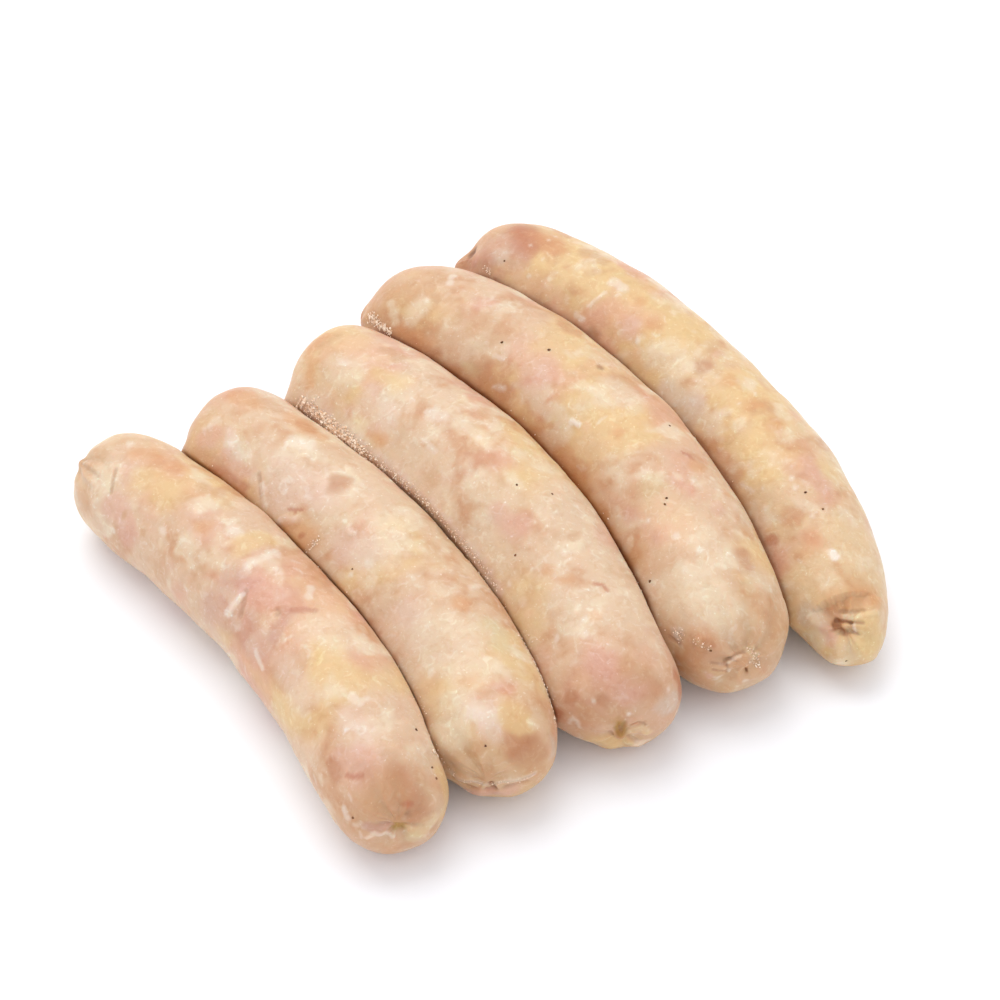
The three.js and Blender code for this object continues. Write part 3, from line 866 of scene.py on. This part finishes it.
def speckled_material(name, dark, pale, scale, roughness):
    """Two tones in small patches, for pepper and dried crumbs."""
    material, tree, shader = new_material(name)
    place = add_node(tree, "ShaderNodeTexCoord")
    patches = add_node(tree, "ShaderNodeTexNoise", Scale=scale, Detail=3.0)
    tones = add_node(tree, "ShaderNodeMix", data_type="RGBA")
    set_inputs(tones, A=(*linear(dark), 1), B=(*linear(pale), 1))
    spread = add_node(tree, "ShaderNodeMapRange", clamp=True, From_Min=0.38, From_Max=0.62)
    tree.links.new(place.outputs["Object"], patches.inputs["Vector"])
    tree.links.new(patches.outputs["Fac"], spread.inputs["Value"])
    tree.links.new(spread.outputs["Result"], tones.inputs["Factor"])
    tree.links.new(tones.outputs["Result"], shader.inputs["Base Color"])
    set_inputs(shader, Roughness=roughness)
    return material


# Pieces

def add_object(name, data):
    made = bpy.data.objects.new(name, data)
    bpy.context.scene.collection.objects.link(made)
    return made


def add_piece(name, mesh, material, smooth=True):
    piece = add_object(name, mesh)
    mesh.materials.append(material)
    if smooth:
        mesh.shade_smooth()
    else:
        mesh.shade_flat()
    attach(piece, "root")
    return piece


def make_mesh(name, points, faces):
    mesh = bpy.data.meshes.new(name)
    mesh.from_pydata((points - ROW_MIDDLE) * MM, [], faces)
    mesh.update()
    return mesh


def make_form(index, links):
    """A link's plain form, with the walls that it shares with its neighbours."""
    link = links[index]
    walls = [
        wall_offsets(link, links[index + side], side) if 0 <= index + side < len(links) else None
        for side in (-1, 1)
    ]
    form = merged(base_form(link, walls))
    form["walls"] = walls
    form["tree"] = BVHTree.FromPolygons(form["points"].tolist(), form["faces"])
    return form


def gap_to(form, side, neighbour):
    """How much farther than touching each vertex is from the neighbour on a side, -1 or 1."""
    wall = form["walls"][side > 0]
    gap = np.full(len(form["u"]), FAR)
    if wall is None:
        return gap
    to_wall = np.interp(form["u"], WALL_STATIONS, wall) - side * form["offset"]
    for k in np.flatnonzero(to_wall < NEAR):
        distance = neighbour["tree"].find_nearest(form["points"][k], 2 * NEAR)[3]
        gap[k] = FAR if distance is None else max(distance - TOUCHING, 0)
    return gap


def vertex_areas(mesh):
    """The share of the surface that belongs to each vertex."""
    areas = np.empty(len(mesh.polygons), np.float32)
    totals = np.empty(len(mesh.polygons), np.int32)
    corners = np.empty(len(mesh.loops), np.int32)
    mesh.polygons.foreach_get("area", areas)
    mesh.polygons.foreach_get("loop_total", totals)
    mesh.loops.foreach_get("vertex_index", corners)
    return np.bincount(corners, np.repeat(areas / totals, totals), len(mesh.vertices))


def make_link(index, links, shapes, material):
    """One link: its form, then relief and colour, pressed once more against its neighbours."""
    link, form = links[index], shapes[index]
    mesh = make_mesh(link["name"] + "_skin", form["points"], form["faces"])
    normals = np.empty(len(form["points"]) * 3, np.float32)
    mesh.vertex_normals.foreach_get("vector", normals)
    form["normals"] = normals.reshape(-1, 3).astype(float)
    form["areas"] = vertex_areas(mesh)
    form["pixels"] = in_picture(form["points"])
    form["facing"] = ((CAMERA_PLACE - form["points"]) * form["normals"]).sum(1) > 0
    form["gaps"] = [gap_to(form, side, shapes[(index + side) % len(shapes)]) for side in (-1, 1)]
    height, tint = dress(form, link, 1000 * (index + 1))
    points = form["points"] + form["normals"] * height[:, None]
    points, _ = press(link, points, form["u"], form["walls"], SKIN_ROLL)
    mesh.vertices.foreach_set("co", ((points - ROW_MIDDLE) * MM).astype(np.float32).ravel())
    mesh.update()
    colours = mesh.color_attributes.new("tint", "FLOAT_COLOR", "POINT")
    colours.data.foreach_set("color", np.c_[tint, np.ones(len(tint))].astype(np.float32).ravel())
    piece = add_piece(mesh.name, mesh, material)
    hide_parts(link["name"])
    form["points"] = points
    return form


def grain_mesh(name, places, normals, sizes, squash, seed, fineness):
    """Small rough grains, each a jittered ball pressed flat along its normal."""
    rng = np.random.default_rng(seed)
    bm = bmesh.new()
    bmesh.ops.create_icosphere(bm, subdivisions=fineness, radius=1)
    ball = np.array([v.co for v in bm.verts])
    faces = np.array([[v.index for v in f.verts] for f in bm.faces])
    bm.free()
    rough = ball[None] * rng.uniform(0.75, 1.2, (len(places), len(ball), 1))
    rough *= rng.uniform(0.6, 1.3, (len(places), 1, 3))
    along = (rough * normals[:, None]).sum(2, keepdims=True) * normals[:, None]
    points = places[:, None] + (rough - (1 - squash) * along) * sizes[:, None, None]
    shifted = faces[None] + len(ball) * np.arange(len(places))[:, None, None]
    return make_mesh(name, points.reshape(-1, 3), shifted.reshape(-1, 3).tolist())


links = [prepare(index, link) for index, link in enumerate(LINKS)]
skin = skin_material("sausage_skin")
shapes = [make_form(index, links) for index in range(len(links))]
forms = {link["name"]: make_link(index, links, shapes, skin) for index, link in enumerate(links)}


def pepper():
    places, normals = [], []
    for name, pixels in SPECKS.items():
        form = forms[name]
        for pixel in pixels:
            nearest = np.linalg.norm(form["points"] - seen_point(form, pixel), axis=1).argmin()
            places.append(form["points"][nearest])
            normals.append(form["normals"][nearest])
    return np.array(places), np.array(normals)


places, normals = pepper()
sizes = np.random.default_rng(5).uniform(0.26, 0.38, len(places))
specks = grain_mesh("pepper_specks", places, normals, sizes, 0.5, 6, 2)
add_piece("pepper_specks", specks, speckled_material("pepper", "4a2a14", "855a38", 1500.0, 0.9))


def crumb_radii(radii, count, rng):
    """Many small radii and few large ones."""
    return radii[0] + (radii[1] - radii[0]) * rng.random(count) ** 2


def strip_crumbs(strip, rng):
    form = forms[strip["link"]]
    weight = strip_weight(form, strip) * form["areas"]
    chosen = rng.choice(len(weight), strip["count"], p=weight / weight.sum())
    return form, chosen, crumb_radii(strip["radii"], strip["count"], rng)


def seam_crumbs(form, side, count, rng):
    """Fine crumbs here and there along one seam of a link, on its upper half."""
    upper = smoothstep(6, 12, form["points"][:, 2])
    patches = smoothstep(-0.3, 0.5, value_noise(form["points"], 4, 77))
    weight = np.exp(-form["gaps"][side] / SEAM_CRUMB_REACH) * upper * patches * form["areas"]
    chosen = rng.choice(len(weight), count, p=weight / weight.sum())
    return form, chosen, crumb_radii(SEAM_CRUMB_RADII, count, rng)


def crumb_piece(name, groups, rng, material):
    """One piece of all the crumbs in the groups, each a link's form with chosen vertices and radii."""
    places = np.concatenate([form["points"][chosen] for form, chosen, _ in groups])
    normals = np.concatenate([form["normals"][chosen] for form, chosen, _ in groups])
    radii = np.concatenate([radii for _, _, radii in groups])
    shift = rng.uniform(-0.35, 0.35, places.shape)
    places += shift - (shift * normals).sum(1, keepdims=True) * normals
    add_piece(name, grain_mesh(name, places, normals, radii, 0.7, 9, 1), material, smooth=False)


rng = np.random.default_rng(8)
crumbs = speckled_material("dried_crumbs", "d8ae88", "fdecd8", 1300.0, 0.45)
crumb_piece("dried_crust", [strip_crumbs(strip, rng) for strip in CRUMB_STRIPS], rng, crumbs)
seam_groups = [
    seam_crumbs(shapes[seam + 1 - side], side, count, rng)
    for seam, count in enumerate(SEAM_CRUMBS) for side in (0, 1)
]
crumb_piece("seam_crumbs", seam_groups, rng, crumbs)


# Floor, lights and camera

FLOOR_WIDTH = 6.0
PAPER_COLOUR = (0.955, 0.96, 0.985, 1)
SKY_COLOUR = (0.95, 0.965, 1.0, 1)
KEY_HEIGHT, KEY_LEFT, KEY_AHEAD = 1.9, 0.45, 0.9
KEY_WIDTH, KEY_WATTS, KEY_COLOUR = 1.8, 21.6, (1.0, 0.985, 0.95)

floor_mesh = bpy.data.meshes.new("floor")
half = FLOOR_WIDTH / 2
corners = [(-half, -half, 0), (half, -half, 0), (half, half, 0), (-half, half, 0)]
floor_mesh.from_pydata(corners, [], [(0, 1, 2, 3)])
floor = add_object("floor", floor_mesh)
paper, _, paper_shader = new_material("floor_paper")
set_inputs(paper_shader, Base_Color=PAPER_COLOUR, Roughness=0.9, Specular_IOR_Level=0.0)
floor_mesh.materials.append(paper)

world = bpy.data.worlds.new("studio")
bpy.context.scene.world = world
world.use_nodes = True
set_inputs(world.node_tree.nodes["Background"], Color=SKY_COLOUR, Strength=1.0)

lamp = bpy.data.lights.new("key_light", "AREA")
lamp.shape = "RECTANGLE"
lamp.size = lamp.size_y = KEY_WIDTH
lamp.energy, lamp.color = KEY_WATTS, KEY_COLOUR
key_light = add_object("key_light", lamp)
ahead = Vector((-math.sin(azimuth), math.cos(azimuth), 0))
key_light.location = Vector((0, 0, KEY_HEIGHT)) - KEY_LEFT * Vector(RIGHT) + KEY_AHEAD * ahead
key_light.rotation_euler = (-key_light.location).to_track_quat("-Z", "Y").to_euler()

camera_data = bpy.data.cameras.new("camera")
camera_data.sensor_width = SENSOR
camera_data.lens = FOCAL_PIXELS * SENSOR / PICTURE
camera = add_object("camera", camera_data)
camera.location = (CAMERA_PLACE - ROW_MIDDLE) * MM
camera.rotation_euler = Vector(LOOK).to_track_quat("-Z", "Y").to_euler()
bpy.context.scene.camera = camera
bpy.context.scene.view_settings.view_transform = "Standard"
